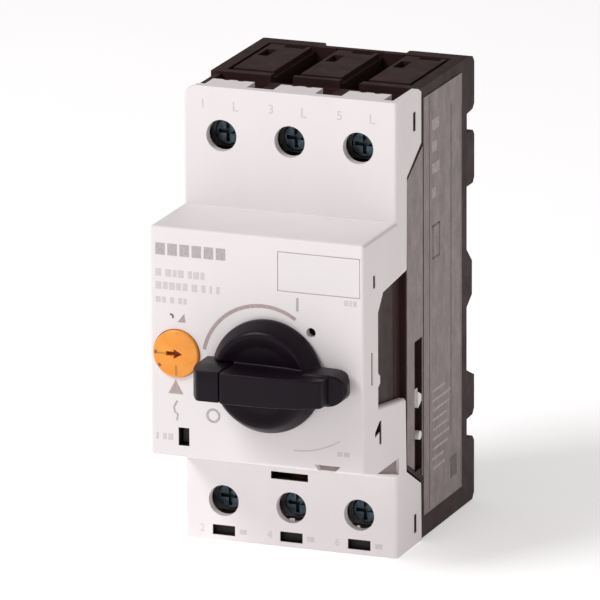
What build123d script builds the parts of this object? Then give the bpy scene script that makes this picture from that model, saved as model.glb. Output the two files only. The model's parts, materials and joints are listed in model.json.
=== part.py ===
from build123d import *
import os
from math import pi

# Three-pole rotary motor protection breaker for a 35 mm DIN rail.
# Millimetres. X to the right seen from the front, +Y towards the rail, +Z up.
# The origin is the middle of the rail seat on the back of the base.

# ---- envelope ----
WIDTH = 45.0
HEIGHT = 93.0
SIDE = WIDTH / 2
TOP = HEIGHT / 2
FOOT_Y = 4.4
TERMINAL_Y = -40.7
FACE_Y = -59.0
HANDLE_Y = -71.6
BLOCK_TOP = 22.3
BLOCK_LOW = -24.2
BLOCK_ROOT = -30.1
PLATE = 1.8
SKIRT = 1.4

# ---- poles and terminals ----
POLES = (-14.4, 0.0, 14.4)
POLE_HALF = 6.0
TERMINAL_HALF = 5.2
LINE_Z = 36.7
LOAD_Z = -38.3
ACCESS_R = 3.2
SCREW_HEAD_R = 2.8
SCREW_R = 2.0
SCREW_HOLE_R = 2.1
HEAD_FRONT = -37.0
HEAD_BACK = -34.85
CLAMP_FRONT = -34.8
CLAMP_BACK = -33.6
BAR_FRONT = -29.4
BAR = 1.6
BAR_BACK = BAR_FRONT + BAR
SCREW_END = -24.5

# ---- base and mechanism case ----
BASE_TOP = 46.0
BAND_TOP = 44.6
TAB_BACK = -33.7
BASE_SIDE = 22.1
BASE_INNER_SIDE = 20.9
BASE_FRONT = -38.6
BASE_FLOOR = -3.5
CASE_FRONT = -56.0
CASE_BACK = -38.8
CASE_TOP = 19.5
CASE_LOW = -21.5
CASE_WALL = 1.5

# ---- handle ----
AXIS_X = 2.6
AXIS_Z = -5.7
SHAFT_R = 3.0
DISC_R = 11.5
DISC_BACK = -59.2
DISC_FRONT = -63.9
GRIP_HALF = 3.1
GRIP_LEFT = -3.1
GRIP_RIGHT = 20.9
SLIDE_GAP = 0.2
SLIDE_BACK = -60.2

# ---- drive: pinion, rack and ramp ----
TEETH = 8
PITCH_R = 4.2
ADDENDUM = 0.8
DEDENDUM = 1.1
GEAR_FRONT = -49.5
GEAR_BACK = -46.0
CONTACT_TRAVEL = 2.4
RACK_TRAVEL = PITCH_R * pi / 2
RAMP_SLOPE = CONTACT_TRAVEL / RACK_TRAVEL
RACK_SIDE = 10.4
RAMP_LOW = 3.0
RAMP_HIGH = 17.3
RAMP_Y = -44.5
RAMP_GAP = 0.3

# ---- dial ----
DIAL_X = -16.85
DIAL_Z = -3.2
DIAL_R = 4.8
DIAL_SHAFT_R = 1.5

# ---- contacts ----
LINE_TIP_Z = 17.0
LOAD_TIP_Z = -1.0
FIXED_TIP_FRONT = -14.6
CONTACT_BACK = -12.0
CONTACT_FRONT = CONTACT_BACK - BAR
BRIDGE_FRONT = -19.4
BRIDGE_BACK = -18.2
MOVING_TIP_BACK = FIXED_TIP_FRONT - CONTACT_TRAVEL - 0.2

# ---- releases ----
COIL_Z = -21.3
COIL_FRONT = -24.0
COIL_BACK = -11.0
FLANGE = 1.0
STRIP_ROOT = -29.0
STRIP_TIP = -9.0
TRIP_Z = -6.0
TRIP_Y = -35.0
TRIP_HALF = 1.5
LEVER_X = -12.5
LEVER_Z = 9.0

# ---- rail latch ----
LATCH_HALF = 9.0
LATCH_FRONT = 0.3
LATCH_BACK = 3.1
LATCH_LOW = -46.1
LATCH_NOSE = -16.7
SPRING_SEAT = -36.8
SPRING_TOP = -26.0


def block(x0, x1, y0, y1, z0, z1):
    centre = Pos((x0 + x1) / 2, (y0 + y1) / 2, (z0 + z1) / 2)
    return centre * Box(x1 - x0, y1 - y0, z1 - z0)


def side_prism(points, x0, x1):
    """A (y, z) outline pushed along X."""
    outline = make_face(Polyline(*points, close=True))
    return extrude(Plane.YZ.offset(x0) * outline, x1 - x0)


def front_prism(points, y0, y1):
    """An (x, z) outline pushed along Y."""
    outline = make_face(Polyline(*points, close=True))
    return extrude(Plane.XZ.offset(-y1) * outline, y1 - y0)


def disc(x, z, radius, y0, y1):
    return Pos(x, (y0 + y1) / 2, z) * Rot(90, 0, 0) * Cylinder(radius, y1 - y0)


def ring(x, z, outer, inner, y0, y1):
    return disc(x, z, outer, y0, y1) - disc(x, z, inner, y0 - 1, y1 + 1)


def spring(radius, wire, length, turns):
    """A compression spring standing on the XY plane, along +Z."""
    path = Helix(length / turns, length - 2 * wire, radius)
    section = Plane(path @ 0, z_dir=path % 0) * Circle(wire)
    return Pos(0, 0, wire) * sweep(section, path=path)


def save(name, shape):
    export_step(shape, "parts/" + name + ".step")


# ---- outer pieces ----

def front_cover():
    outline = [
        (-27.0, TOP - 0.9), (-28.6, TOP), (TERMINAL_Y, TOP), (TERMINAL_Y, BLOCK_TOP), (FACE_Y, BLOCK_TOP),
        (FACE_Y, BLOCK_LOW), (TERMINAL_Y, BLOCK_ROOT), (TERMINAL_Y, -TOP), (-27.0, -TOP),
        (-27.3, -34.6), (-35.5, -30.0), (-36.0, -14.7), (-50.7, -12.6), (-50.7, -8.7),
        (-49.6, -8.0), (-49.6, -6.2), (-50.7, -5.4), (-50.7, 6.6), (-48.0, 9.9),
        (-35.3, 11.0), (-35.1, 30.2), (-27.0, 35.3),
    ]
    shell = side_prism(outline, -SIDE, SIDE)
    rim = shell.edges().filter_by(lambda e: e.center().Y < -40 and abs(e.center().X) > SIDE - 0.1)
    long_edges = shell.edges().filter_by(Axis.X).filter_by(lambda e: e.center().Y < FACE_Y + 0.1)
    shell = fillet(rim + long_edges, 0.7)
    inside = [
        (TERMINAL_Y + PLATE, TOP + 1), (TERMINAL_Y + PLATE, BLOCK_TOP - PLATE),
        (FACE_Y + PLATE, BLOCK_TOP - PLATE), (FACE_Y + PLATE, BLOCK_LOW + PLATE),
        (TERMINAL_Y + PLATE, BLOCK_ROOT + PLATE), (TERMINAL_Y + PLATE, -TOP - 1),
        (-20.0, -TOP - 1), (-20.0, TOP + 1),
    ]
    shell -= side_prism(inside, SKIRT - SIDE, SIDE - SKIRT)
    for x in POLES:
        shell += terminal_tab(x, 44.9, TOP - 0.2)
        shell += terminal_tab(x, 0.2 - TOP, -44.9)
        shell -= disc(x, LINE_Z, ACCESS_R, TERMINAL_Y - 1, -37.0)
        shell -= disc(x, LOAD_Z, ACCESS_R, TERMINAL_Y - 1, -37.0)
        shell -= block(x - 2.4, x + 2.4, TERMINAL_Y - 1, -38.0, -45.5, -43.4)
    shell -= block(-4.3, 3.6, TERMINAL_Y - 1, -38.0, -32.65, -31.1)
    shell -= block(-16.6, -14.3, FACE_Y - 1, FACE_Y + 3, -22.0, -18.3)
    shell -= disc(11.4, 3.7, 1.0, FACE_Y - 1, FACE_Y + 3)
    shell -= disc(DIAL_X, DIAL_Z, DIAL_R + 0.15, FACE_Y - 1, CASE_FRONT)
    shell -= disc(AXIS_X, AXIS_Z, 4.6, FACE_Y - 1, FACE_Y + 3)
    shell -= block(4.4, 21.7, FACE_Y - 1, FACE_Y + 0.3, 11.5, 19.6)
    notch = [
        (12.9, BLOCK_LOW - 4), (12.9, BLOCK_LOW - 0.2), (12.1, BLOCK_LOW + 1.2), (17.5, BLOCK_LOW + 1.2),
        (16.1, BLOCK_LOW - 0.2), (16.1, BLOCK_LOW - 4),
    ]
    shell -= front_prism(notch, FACE_Y - 1, FACE_Y + 1.4)
    for side in (-1, 1):
        shell -= side_features(side)
    corner = [
        (-SIDE - 1, 44.0), (-SIDE, 44.3), (-21.6, 45.7), (-20.0, TOP), (-20.0, TOP + 1),
        (-SIDE - 1, TOP + 1),
    ]
    shell -= front_prism(corner, TERMINAL_Y - 1, -26.0)
    return shell - block(-SIDE - 1, SKIRT - SIDE, TERMINAL_Y + PLATE, -26.0, 44.3, TOP + 1)


def terminal_tab(x, z0, z1):
    """The tongue of the cover over one terminal chamber, with two small notches in its back edge."""
    tab = block(x - 4.4, x + 4.4, TERMINAL_Y + 1.0, TAB_BACK, z0, z1)
    for offset in (-1.5, 1.5):
        tab -= Pos(x + offset, TAB_BACK + 0.3, (z0 + z1) / 2) * Cylinder(0.8, z1 - z0 + 1)
    return tab


def side_features(side):
    """Windows and recesses of one skirt; side is -1 for the left skirt and 1 for the right."""
    outer = side * (SIDE + 1)
    inner = side * (SIDE - SKIRT - 1)
    x0 = min(outer, inner)
    x1 = max(outer, inner)
    cuts = block(x0, x1, -31.55, -30.05, 38.5, 42.4)
    cuts += block(x0, x1, -31.25, -29.75, -44.0, -40.1)
    cuts += block(x0, x1, -53.9, -52.7, 12.3, 14.9)
    cuts += block(x0, x1, -54.95, -54.25, -7.1, -0.4)
    flag = [
        (-50.6, -20.3), (-49.4, -20.3), (-49.4, -15.5), (-50.6, -15.5), (-53.0, -17.2), (-53.0, -18.2),
        (-50.6, -17.7),
    ]
    cuts += side_prism(flag, x0, x1)
    gusset = [(-51.7, -25.9), (-39.7, -25.9), (-39.7, -29.4)]
    shallow = side * (SIDE - 0.6)
    cuts += side_prism(gusset, min(outer, shallow), max(outer, shallow))
    return cuts


def skirt_edge(gap):
    """The back edge of the cover's skirt, moved back by a gap."""
    return [
        (-27.0 + gap, BASE_TOP), (-27.0 + gap, 35.3 - gap), (-35.1 + gap, 30.2 - gap),
        (-35.1 + gap, -29.8 + gap),
        (-27.0 + gap, -34.4 + gap), (-27.0 + gap, -TOP),
    ]


def back_edge():
    """The two cheeks of the base seen from the side: four feet, a middle bump and the rail groove."""
    return [
        (3.4, -TOP), (FOOT_Y, -45.2), (FOOT_Y, -34.4), (3.4, -33.2), (0.1, -33.0), (0.1, -28.9),
        (3.4, -28.7), (FOOT_Y, -27.6), (FOOT_Y, -20.6), (0.0, -18.6), (0.0, -5.5), (3.1, -3.5), (3.1, 3.5),
        (0.0, 6.5), (0.0, 19.5), (3.6, 19.5), (FOOT_Y, 20.6), (FOOT_Y, 29.4), (3.6, 30.4), (0.1, 30.6),
        (0.1, 34.5), (3.4, 34.8), (FOOT_Y, 35.8), (FOOT_Y, 44.4), (3.5, 45.6), (1.8, BASE_TOP),
    ]


def base_housing():
    cheek = side_prism(skirt_edge(0.25) + back_edge(), LATCH_HALF + 0.3, BASE_SIDE)
    middle = [(-26.0, BASE_TOP), (-26.0, -TOP), (0.0, -TOP), (0.0, BASE_TOP)]
    body = cheek + mirror(cheek, Plane.YZ) + side_prism(middle, -LATCH_HALF - 0.3, LATCH_HALF + 0.3)
    body += block(-BASE_INNER_SIDE, BASE_INNER_SIDE, BASE_FRONT, -25.0, -BAND_TOP, BAND_TOP)
    for x in (-BASE_INNER_SIDE, 19.7):
        body += block(x, x + 1.2, BASE_FRONT, -26.0, -45.6, 45.6)
    for x in POLES:
        body -= pole_pocket(x)
    body -= block(-20.4, 20.4, BASE_FRONT - 1, -25.4, 3.0, 13.0)
    body -= block(-20.4, 20.4, BASE_FRONT - 1, -32.4, -12.0, -3.4)
    for x in (POLES[1] - 7.2, POLES[1] + 7.2):
        body -= block(x - 2.25, x + 2.25, -26.6, -1.7, 38.5, TOP + 1)
        body -= block(x - 2.25, x + 2.25, -26.6, -1.7, -TOP - 1, -38.5)
    body -= block(BASE_SIDE - 1.1, BASE_SIDE + 1, -30.0, -26.0, -31.7, -5.0)
    body -= block(20.0, BASE_SIDE + 1, -29.6, -26.4, -12.1, -5.1)
    body += rail_hook()
    body += latch_guides()
    return body


def pole_pocket(x):
    """Everything hollow in one pole: the contact pocket, two terminal chambers and their wire mouths."""
    hollow = block(x - POLE_HALF, x + POLE_HALF, BASE_FRONT - 1, BASE_FLOOR, -34.0, 34.0)
    for z, end in ((LINE_Z, 1), (LOAD_Z, -1)):
        mouth = end * (TOP + 1)
        low = min(end * 30.0, mouth)
        high = max(end * 30.0, mouth)
        hollow += block(x - TERMINAL_HALF, x + TERMINAL_HALF, BASE_FRONT - 1, BAR_BACK, low, high)
        hollow += disc(x, z, 2.7, BAR_BACK - 1, -19.5)
        hollow += end_marks(x, BASE_TOP - 1.0, TOP + 1) if end > 0 else end_marks(x, -TOP - 1, 1.0 - TOP)
    return hollow


def end_marks(x, z0, z1):
    """Grooves around the raised field of one pole, and its two small pockets."""
    groove = block(x - 5.1, x + 5.1, -24.6, -1.4, z0, z1)
    groove -= block(x - 4.3, x + 4.3, -23.2, -2.4, z0 - 1, z1 + 1)
    groove += block(x - 3.6, x - 1.4, -12.0, -6.6, z0, z1)
    return groove + block(x - 1.0, x + 3.4, -4.2, -2.0, z0, z1)


def rail_hook():
    """The fixed lip over the upper edge of the rail, in the middle of the back."""
    outline = [
        (0.0, 26.0), (0.0, 18.3), (1.4, 18.3), (1.4, 16.7), (2.6, 16.7), (FOOT_Y, 18.6), (FOOT_Y, 26.0),
    ]
    return side_prism(outline, -LATCH_HALF - 0.3, LATCH_HALF + 0.3)


def latch_guides():
    """Lips that keep the rail latch on the back, and the post that its spring pushes on."""
    lips = block(-LATCH_HALF - 0.4, -LATCH_HALF + 1.5, LATCH_BACK + 0.3, FOOT_Y, -45.0, -34.4)
    lips += block(LATCH_HALF - 1.5, LATCH_HALF + 0.4, LATCH_BACK + 0.3, FOOT_Y, -45.0, -34.4)
    lips += block(-LATCH_HALF - 0.4, -LATCH_HALF + 1.5, LATCH_BACK + 0.3, FOOT_Y, -27.6, -21.5)
    lips += block(LATCH_HALF - 1.5, LATCH_HALF + 0.4, LATCH_BACK + 0.3, FOOT_Y, -27.6, -21.5)
    post = block(-2.0, 2.0, -1.0, LATCH_BACK, SPRING_SEAT - 1.4, SPRING_SEAT)
    return lips + post


def mechanism_case():
    case = block(-BASE_INNER_SIDE, BASE_INNER_SIDE, CASE_FRONT, CASE_BACK, CASE_LOW, CASE_TOP)
    side = BASE_INNER_SIDE - CASE_WALL
    case -= block(-side, side, CASE_FRONT + 1.6, CASE_BACK + 1, CASE_LOW + CASE_WALL, CASE_TOP - CASE_WALL)
    case -= disc(AXIS_X, AXIS_Z, 4.6, CASE_FRONT - 1, CASE_FRONT + 3)
    case -= disc(DIAL_X, DIAL_Z, DIAL_SHAFT_R + 0.08, CASE_FRONT - 1, CASE_FRONT + 3)
    case -= block(-17.4, -12.6, CASE_FRONT - 1, CASE_FRONT + 3, CASE_LOW - 1, -16.5)
    case -= disc(LEVER_X, LEVER_Z, 1.0, CASE_FRONT - 1, CASE_FRONT + 3)
    return case


def marking_plate():
    return block(4.6, 21.5, FACE_Y + 0.05, FACE_Y + 0.3, 11.7, 19.4)


def side_plate(side):
    """The two printed grey fields of one side, 0.15 mm proud of the base."""
    inner = side * BASE_SIDE
    outer = side * (BASE_SIDE + 0.15)
    x0 = min(inner, outer)
    x1 = max(inner, outer)
    main = side_prism([(-24.9, 43.8), (-3.2, 43.8), (-3.2, -42.0), (-24.9, -42.0)], x0, x1)
    strip = side_prism([(-34.4, 29.2), (-25.5, 34.2), (-25.5, -33.6), (-34.4, -28.8)], x0, x1)
    strip -= block(x0 - 1, x1 + 1, -30.3, -25.8, -34.0, -4.7)
    return Compound([main, strip])


# ---- handle, shaft and drive ----

def rotary_handle():
    skirt = [
        (0.0, DISC_BACK), (11.2, DISC_BACK), (DISC_R, DISC_BACK - 0.4), (DISC_R, -60.6), (10.9, -61.8),
        (9.9, -63.3), (9.2, DISC_FRONT), (0.0, DISC_FRONT),
    ]
    outline = make_face(Polyline(*skirt, close=True))
    body = revolve(outline, Axis.Y, 360)
    body = Pos(AXIS_X, 0, AXIS_Z) * body
    profile = [
        (GRIP_LEFT, -61.0), (GRIP_LEFT, HANDLE_Y + 0.5), (GRIP_LEFT + 0.5, HANDLE_Y), (6.5, -71.4),
        (12.8, -70.5), (17.4, -69.3), (18.1, -65.6), (20.1, -65.1), (GRIP_RIGHT, -63.8), (20.5, -61.2),
        (19.4, -60.4), (13.0, -60.4),
    ]
    grip = make_face(Polyline(*profile, close=True))
    grip = extrude(Plane.XY.offset(AXIS_Z - GRIP_HALF) * grip, 2 * GRIP_HALF)
    lower = [(GRIP_LEFT, -GRIP_HALF), (17.6, -GRIP_HALF), (19.6, -2.6), (20.6, -1.4), (GRIP_RIGHT, 0.0)]
    upper = [(x, -z) for x, z in reversed(lower[:-1])]
    grip &= front_prism([(x, AXIS_Z + z) for x, z in lower + upper], HANDLE_Y - 1, FACE_Y)
    section = [
        (-60.0, AXIS_Z - GRIP_HALF), (HANDLE_Y + 0.6, AXIS_Z - GRIP_HALF),
        (HANDLE_Y, AXIS_Z - GRIP_HALF + 0.6),
        (HANDLE_Y, AXIS_Z + GRIP_HALF - 0.6), (HANDLE_Y + 0.6, AXIS_Z + GRIP_HALF),
        (-60.0, AXIS_Z + GRIP_HALF),
    ]
    grip &= side_prism(section, GRIP_LEFT - 1, GRIP_RIGHT + 1)
    body -= block(-10.0, GRIP_LEFT, -65.0, SLIDE_BACK + 0.2, AXIS_Z - 3.4, AXIS_Z + 3.4)
    body += grip
    body -= block(-14.0, 10.2, -69.5, -62.7, AXIS_Z - 1.4, AXIS_Z + 1.4)
    body -= disc(AXIS_X, AXIS_Z, SHAFT_R, -62.0, FACE_Y + 1)
    return body


def padlock_slide():
    right = GRIP_LEFT - SLIDE_GAP
    front = HANDLE_Y + 0.4
    plan = [
        (right, SLIDE_BACK), (-10.1, SLIDE_BACK), (-10.5, -61.2), (-10.1, -66.0), (-9.2, -69.6),
        (-8.2, front + 0.2),
        (-7.6, front), (right, front),
    ]
    head_plan = make_face(Polyline(*plan, close=True))
    head = extrude(Plane.XY.offset(AXIS_Z - GRIP_HALF) * head_plan, 2 * GRIP_HALF)
    tongue = block(-8.0, 9.2, -69.3, -62.9, AXIS_Z - 1.2, AXIS_Z + 1.2)
    shackle = Pos(0.8, -66.1, AXIS_Z) * Cylinder(2.3, 10)
    return head + (tongue - shackle)


def handle_shaft():
    return disc(AXIS_X, AXIS_Z, SHAFT_R, -62.0, -44.5)


def tooth_outline(root, crest):
    """Half widths of one tooth: at the root line, the pitch line and the crest."""
    return [(-root, 1.05), (0.0, 0.6), (crest, 0.32)]


def drive_pinion():
    gear = disc(AXIS_X, AXIS_Z, PITCH_R - DEDENDUM, GEAR_FRONT, GEAR_BACK)
    half = tooth_outline(DEDENDUM + 0.4, ADDENDUM)
    side_one = [(PITCH_R + depth, width) for depth, width in half]
    side_two = [(PITCH_R + depth, -width) for depth, width in reversed(half)]
    tooth = front_prism(side_one + side_two, GEAR_FRONT, GEAR_BACK)
    for i in range(TEETH):
        gear += Pos(AXIS_X, 0, AXIS_Z) * Rot(0, 360 / TEETH * i, 0) * tooth
    return gear - disc(AXIS_X, AXIS_Z, SHAFT_R, GEAR_FRONT - 1, GEAR_BACK + 1)


def drive_rack():
    pitch = 2 * pi * PITCH_R / TEETH
    back = AXIS_X + PITCH_R + DEDENDUM
    rack = block(back, RACK_SIDE, GEAR_FRONT, GEAR_BACK, -10.0, RAMP_HIGH)
    half = tooth_outline(DEDENDUM + 0.2, ADDENDUM)
    for i in range(4):
        z = AXIS_Z + pitch * (i - 0.5)
        side_one = [(AXIS_X + PITCH_R - depth, z + width) for depth, width in half]
        side_two = [(AXIS_X + PITCH_R - depth, z - width) for depth, width in reversed(half)]
        rack += front_prism(side_one + side_two, GEAR_FRONT, GEAR_BACK)
    ramp = [
        (GEAR_BACK - 1, RAMP_LOW), (GEAR_BACK - 1, RAMP_HIGH),
        (RAMP_Y + RAMP_SLOPE * (RAMP_HIGH - RAMP_LOW), RAMP_HIGH), (RAMP_Y, RAMP_LOW),
    ]
    return rack + side_prism(ramp, back, RACK_SIDE)


def handle_bushing():
    return ring(AXIS_X, AXIS_Z, 4.6, SHAFT_R + 0.06, FACE_Y + 0.2, -53.4)


# ---- dial ----

def setting_dial():
    dial = disc(DIAL_X, DIAL_Z, DIAL_R, FACE_Y - 0.7, CASE_FRONT - 0.2)
    dial = fillet(dial.edges().filter_by(lambda e: e.center().Y < FACE_Y), 0.35)
    dial += disc(DIAL_X, DIAL_Z, DIAL_SHAFT_R, CASE_FRONT - 0.5, -50.5)
    arrow = [(-2.0, -0.45), (-0.4, -0.45), (-0.4, -1.0), (1.5, 0.0), (-0.4, 1.0), (-0.4, 0.45), (-2.0, 0.45)]
    placed = [(DIAL_X + x, DIAL_Z + z) for x, z in arrow]
    return dial - front_prism(placed, FACE_Y - 2, FACE_Y + 0.4)


def dial_cam():
    cam = disc(DIAL_X + 0.3, DIAL_Z, 2.05, -53.6, -51.4)
    return cam - disc(DIAL_X, DIAL_Z, DIAL_SHAFT_R, -55.0, -50.0)


# ---- current path ----

def line_conductor(x):
    shape = block(x - 4.5, x + 4.5, BAR_FRONT, BAR_BACK, 29.4, 42.5)
    shape += block(x - 4.5, x + 4.5, BAR_FRONT, CONTACT_BACK, 29.4, 31.0)
    shape += block(x - 3.0, x + 3.0, CONTACT_FRONT, CONTACT_BACK, 14.0, 30.0)
    return shape - disc(x, LINE_Z, SCREW_HOLE_R, BAR_FRONT - 1, BAR_BACK + 1)


def load_conductor(x):
    shape = block(x - 3.0, x + 3.0, CONTACT_FRONT, CONTACT_BACK, -4.0, 2.0)
    shape += block(x - 3.0, x + 3.0, CONTACT_FRONT, -6.4, -4.0, -2.4)
    shape += block(x - 3.0, x + 3.0, -8.0, -6.4, -32.6, -3.0)
    shape += block(x - 4.5, x + 4.5, BAR_FRONT, -6.4, -32.6, -31.0)
    shape += block(x - 4.5, x + 4.5, BAR_FRONT, BAR_BACK, -43.5, -31.0)
    return shape - disc(x, LOAD_Z, SCREW_HOLE_R, BAR_FRONT - 1, BAR_BACK + 1)


def fixed_tip(x, z):
    return block(x - 1.8, x + 1.8, FIXED_TIP_FRONT, CONTACT_FRONT, z - 1.8, z + 1.8)


def moving_bridge(x):
    strip = block(x - 2.2, x + 2.2, BRIDGE_FRONT, BRIDGE_BACK, -3.4, 19.4)
    return strip - disc(x, 8.0, 1.1, BRIDGE_FRONT - 1, BRIDGE_BACK + 1)


def moving_tip(x, z):
    return block(x - 1.6, x + 1.6, BRIDGE_BACK, MOVING_TIP_BACK, z - 1.6, z + 1.6)


def contact_carrier():
    carrier = block(-19.6, 19.6, -31.0, -28.4, 4.4, 11.6)
    for x in POLES:
        carrier += block(x - 3.0, x + 3.0, -28.6, -23.4, 5.0, 11.0)
        carrier += disc(x, 8.0, 1.0, -23.6, BRIDGE_BACK)
    low = 4.4
    high = 10.0
    stem = [
        (RAMP_Y + RAMP_SLOPE * (low - RAMP_LOW) + RAMP_GAP, low), (-30.0, low), (-30.0, high),
        (RAMP_Y + RAMP_SLOPE * (high - RAMP_LOW) + RAMP_GAP, high),
    ]
    return carrier + side_prism(stem, 7.2, RACK_SIDE)


def contact_spring(x):
    coil = spring(1.75, 0.35, BRIDGE_FRONT + 23.4, 3)
    return Pos(x, BRIDGE_FRONT, 8.0) * Rot(90, 0, 0) * coil


def arc_plates(levels):
    """De-ion plates of all poles at the given heights, each with a mouth towards the contacts."""
    plates = []
    for x in POLES:
        for z in levels:
            plate = block(x - 5.4, x + 5.4, -26.0, -14.9, z, z + 0.6)
            plates.append(plate - block(x - 2.0, x + 2.0, -20.5, -14.0, z - 1, z + 1.6))
    return plates


# ---- magnetic and thermal releases ----

def coil_bobbin(x):
    tube = ring(x, COIL_Z, 3.1, 2.5, COIL_FRONT, COIL_BACK)
    tube += ring(x, COIL_Z, 5.5, 2.5, COIL_FRONT, COIL_FRONT + FLANGE)
    return tube + ring(x, COIL_Z, 5.5, 2.5, COIL_BACK - FLANGE, COIL_BACK)


def magnet_coil(x):
    """Nine touching turns of flat copper wire."""
    turns = 9
    first = COIL_FRONT + FLANGE
    step = (COIL_BACK - FLANGE - first) / turns
    coil = ring(x, COIL_Z, 4.8, 3.1, first, COIL_BACK - FLANGE)
    for i in range(turns):
        y = first + step * i
        coil += ring(x, COIL_Z, 5.1, 3.1, y + 0.15 * step, y + 0.85 * step)
    return coil


def magnet_yoke(x):
    yoke = block(x - 4.0, x + 4.0, COIL_BACK, COIL_BACK + 1.2, -27.9, -14.6)
    yoke += block(x - 4.0, x + 4.0, COIL_FRONT, COIL_BACK + 1.2, -15.6, -14.6)
    return yoke + block(x - 4.0, x + 4.0, COIL_FRONT, COIL_BACK + 1.2, -27.9, -26.9)


def plunger(x):
    rod = disc(x, COIL_Z, 2.2, -28.0, -14.0)
    return rod + disc(x, COIL_Z, 3.4, -28.0, -27.0)


def bimetal_block(x):
    return block(x - 2.5, x + 2.5, -35.6, BAR_BACK, -31.0, STRIP_ROOT - 0.1)


def bimetal_strip(x):
    strip = block(x - 0.4, x + 0.4, -35.0, -31.0, STRIP_ROOT, STRIP_TIP)
    return strip


def heater_winding(x):
    turns = []
    for i in range(6):
        z = STRIP_ROOT + 3.4 + 2.2 * i
        loop = block(x - 1.5, x + 1.5, -36.0, -30.0, z, z + 1.1)
        turns.append(loop - block(x - 0.5, x + 0.5, -35.1, -30.9, z - 1, z + 2.1))
    return turns


def trip_bar():
    bar = block(-16.2, 18.0, TRIP_Y - TRIP_HALF, TRIP_Y + TRIP_HALF, TRIP_Z - TRIP_HALF, TRIP_Z + TRIP_HALF)
    for x in POLES:
        bar += block(x + 0.9, x + 2.1, TRIP_Y - 1.0, TRIP_Y + TRIP_HALF, -11.0, TRIP_Z)
    bar += block(-16.2, -14.9, -43.9, TRIP_Y, TRIP_Z - TRIP_HALF, TRIP_Z + TRIP_HALF)
    bar += block(-16.2, -14.9, -43.9, -42.0, -19.2, TRIP_Z)
    return bar + block(-16.2, -14.9, -53.8, -42.0, -19.2, -17.6)


def test_tab():
    return block(-16.4, -14.7, -56.9, -53.8, -20.6, -17.6) + block(-16.4, -14.7, -56.9, -55.2, -21.8, -20.5)


def trip_spring():
    coil = spring(1.0, 0.25, 4.1, 4)
    return Pos(-20.35, TRIP_Y, TRIP_Z) * Rot(0, 90, 0) * coil


def latch_lever():
    lever = disc(LEVER_X, LEVER_Z, 2.6, -44.6, -43.2)
    lever += block(LEVER_X - 1.4, LEVER_X + 1.8, -44.6, -43.2, -11.0, LEVER_Z)
    lever += block(LEVER_X, LEVER_X + 8.5, -44.6, -43.2, LEVER_Z - 1.5, LEVER_Z + 1.5)
    return lever - disc(LEVER_X, LEVER_Z, 1.06, -46.0, -42.0)


def lever_pin():
    return disc(LEVER_X, LEVER_Z, 1.0, CASE_FRONT, -42.4)


# ---- side actuators ----

def aux_actuator():
    foot = block(21.2, 21.5, -29.4, -26.6, -18.9, -15.2)
    nose = [(-28.6, -18.7), (-26.8, -17.6), (-26.8, -16.3), (-28.6, -15.4)]
    return foot + side_prism(nose, 21.4, 22.4)


def trip_signal_pin():
    pin = Pos(21.8, -27.6, -24.6) * Rot(0, 90, 0) * Cylinder(0.9, 1.2)
    return pin


# ---- terminals ----

def terminal_screw(x, z):
    head = disc(x, z, SCREW_HEAD_R, HEAD_FRONT, HEAD_BACK)
    head = chamfer(head.edges().filter_by(lambda e: e.center().Y < HEAD_FRONT + 0.1), 0.3)
    head -= block(x - 2.0, x + 2.0, HEAD_FRONT - 1, HEAD_FRONT + 1.3, z - 0.4, z + 0.4)
    head -= block(x - 0.4, x + 0.4, HEAD_FRONT - 1, HEAD_FRONT + 1.3, z - 2.0, z + 2.0)
    return head + disc(x, z, SCREW_R, HEAD_BACK, SCREW_END)


def clamp_plate(x, z):
    plate = block(x - 4.4, x + 4.4, CLAMP_FRONT, CLAMP_BACK, z - 3.6, z + 3.6)
    return plate - disc(x, z, SCREW_HOLE_R, CLAMP_FRONT - 1, CLAMP_BACK + 1)


# ---- rail latch ----

def din_latch():
    plate = block(-LATCH_HALF, LATCH_HALF, LATCH_FRONT, LATCH_BACK, LATCH_LOW, -18.3)
    nose = [(1.4, -18.4), (LATCH_BACK, -18.4), (LATCH_BACK, -17.6), (2.2, LATCH_NOSE), (1.4, LATCH_NOSE)]
    plate += side_prism(nose, -6.0, 6.0)
    plate -= block(-2.3, 2.3, -1.0, LATCH_BACK + 1, -42.6, SPRING_TOP)
    return plate - block(-2.5, 2.5, LATCH_FRONT + 1.0, LATCH_BACK + 1, -45.2, -43.8)


def latch_spring():
    coil = spring(0.95, 0.25, SPRING_TOP - SPRING_SEAT, 8)
    return Pos(0, 1.6, SPRING_SEAT) * coil


os.makedirs("parts", exist_ok=True)

save("front_cover", front_cover())
save("base_housing", base_housing())
save("mechanism_case", mechanism_case())
save("marking_plate", marking_plate())
save("side_plate_left", side_plate(-1))
save("side_plate_right", side_plate(1))

save("rotary_handle", rotary_handle())
save("padlock_slide", padlock_slide())
save("handle_shaft", handle_shaft())
save("drive_pinion", drive_pinion())
save("drive_rack", drive_rack())
save("handle_bushing", handle_bushing())
save("setting_dial", setting_dial())
save("dial_cam", dial_cam())

save("line_conductors", Compound([line_conductor(x) for x in POLES]))
save("load_conductors", Compound([load_conductor(x) for x in POLES]))
save("fixed_tips", Compound([fixed_tip(x, z) for x in POLES for z in (LINE_TIP_Z, LOAD_TIP_Z)]))
save("moving_bridges", Compound([moving_bridge(x) for x in POLES]))
save("moving_tips", Compound([moving_tip(x, z) for x in POLES for z in (LINE_TIP_Z, LOAD_TIP_Z)]))
save("contact_carrier", contact_carrier())
save("contact_springs", Compound([contact_spring(x) for x in POLES]))
save("arc_plates_upper", Compound(arc_plates((20.8, 22.8, 24.8, 26.8))))
save("arc_plates_lower", Compound(arc_plates((-6.4, -8.4, -10.4, -12.4))))

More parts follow.
